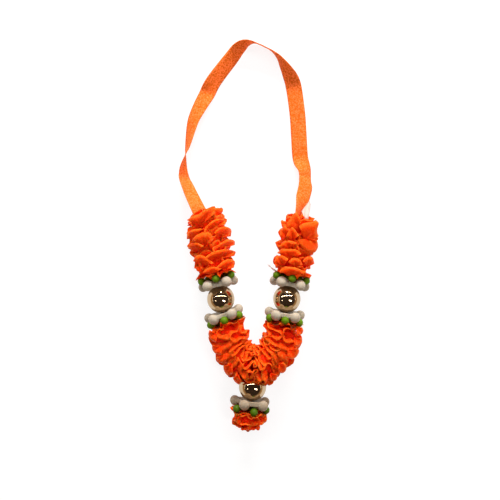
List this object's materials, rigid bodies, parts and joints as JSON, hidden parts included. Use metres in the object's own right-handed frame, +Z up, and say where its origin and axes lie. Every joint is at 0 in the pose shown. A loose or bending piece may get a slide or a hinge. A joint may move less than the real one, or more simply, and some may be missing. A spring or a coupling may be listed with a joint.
{
  "type": "deity flower garland",
  "caption": "Small garland for a household deity, of gathered satin ribbon, mirror balls and ball-tipped star caps on threads, with a ribbon loop to hang it.",
  "frame": {"origin": "middle of the garland's box, without the hanging ribbon, on the surface that it lies on", "axes": "+Z up from the surface, +Y along the garland towards the hanging ribbon, +X to the right seen from above"},
  "size_m": [0.0615, 0.174, 0.0179],
  "materials": {
    "loop_ribbon": "woven satin ribbon with a soft sheen",
    "pale_tail": "thin half-clear ribbon end",
    "ruffle_satin": "gathered satin with bright folds and deep red pockets",
    "gold_bead": "metallised mirror, pale gold",
    "white_cap": "warm off-white, soft gloss",
    "green_cap": "leaf green, soft gloss",
    "thread": "twisted sewing thread"
  },
  "bodies": {
    "root": {"ribbon_loop": "loop_ribbon", "ribbon_tail": "pale_tail", "ruffle_upper_left": "ruffle_satin", "ruffle_upper_right": "ruffle_satin", "ruffle_lower_v": "ruffle_satin", "ruffle_tassel": "ruffle_satin", "gold_bead_left": "gold_bead", "gold_bead_right": "gold_bead", "gold_bead_pendant": "gold_bead", "white_cap_1": "white_cap", "white_cap_2": "white_cap", "white_cap_3": "white_cap", "white_cap_4": "white_cap", "white_cap_5": "white_cap", "green_cap_1": "green_cap", "green_cap_2": "green_cap", "green_cap_3": "green_cap", "green_cap_4": "green_cap", "green_cap_5": "green_cap", "thread_main": "thread", "thread_pendant": "thread"}
  },
  "joints": []
}
